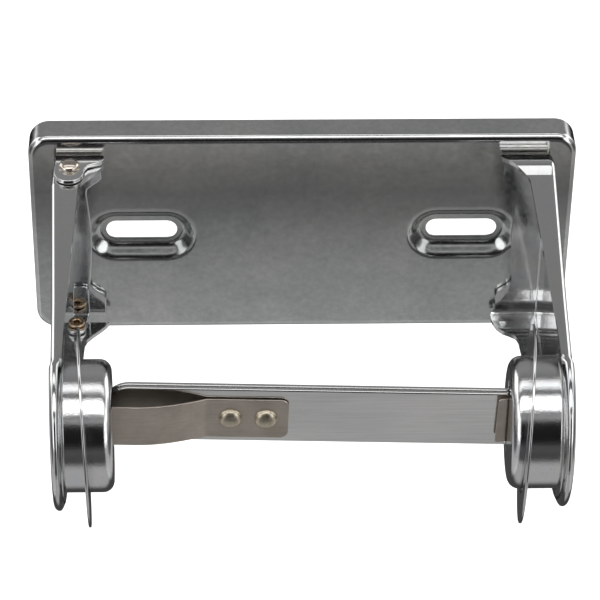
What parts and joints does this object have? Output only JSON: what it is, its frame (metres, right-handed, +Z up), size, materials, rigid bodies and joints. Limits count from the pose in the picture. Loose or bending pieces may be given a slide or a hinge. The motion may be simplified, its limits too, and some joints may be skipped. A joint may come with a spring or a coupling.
{
  "type": "toilet paper holder",
  "caption": "Wall-mounted toilet paper holder: pressed back plate, one fixed and one hinged arm ending in round hubs, and a flat latching bar between them.",
  "frame": {"origin": "on the wall plane, midway between the two screw slots of the back plate", "axes": "+X along the plate to the user's right, +Y into the wall, +Z up"},
  "size_m": [0.1524, 0.1191, 0.066],
  "materials": {
    "plate_chrome": "satin",
    "bright_chrome": "polished",
    "disc_chrome": "polished",
    "bar_chrome": "satin",
    "spring_steel": "satin",
    "rivet_brass": "polished",
    "latch_rivet": "satin"
  },
  "bodies": {
    "plate_frame": {"back_plate": "plate_chrome", "left_bracket": "bright_chrome", "hinge_rivet": "rivet_brass", "hinge_eyelet": "rivet_brass", "right_arm": "bright_chrome", "right_hub": "bright_chrome", "bar_rear": "bar_chrome", "bar_front": "bar_chrome", "bar_clip": "spring_steel", "latch_leaf": "spring_steel", "latch_rivet_1": "latch_rivet", "latch_rivet_2": "latch_rivet"},
    "swing_arm": {"left_arm": "bright_chrome", "left_hub": "bright_chrome"},
    "left_disc": {"left_guard_disc": "disc_chrome"},
    "right_disc": {"right_guard_disc": "disc_chrome"},
    "latch": {"latch_tongue": "spring_steel"}
  },
  "joints": [
    {"name": "arm_hinge", "type": "hinge", "parent": "plate_frame", "child": "swing_arm", "pos_m": [-0.0644, -0.0164, 0], "axis": [0, 0, -1], "range_deg": [0, 30]},
    {"name": "latch_flex", "type": "hinge", "parent": "plate_frame", "child": "latch", "pos_m": [-0.02698, -0.0913, 0.00145], "axis": [-0.0314, 0, -0.9995], "range_deg": [0, 6], "stiffness_Nm_per_rad": 1},
    {"name": "left_disc_slide", "type": "slide", "parent": "swing_arm", "child": "left_disc", "axis": [1, 0, 0], "range_m": [-0.0018, 0.0006]},
    {"name": "right_disc_slide", "type": "slide", "parent": "plate_frame", "child": "right_disc", "axis": [-1, 0, 0], "range_m": [-0.003, 0.0006]}
  ]
}
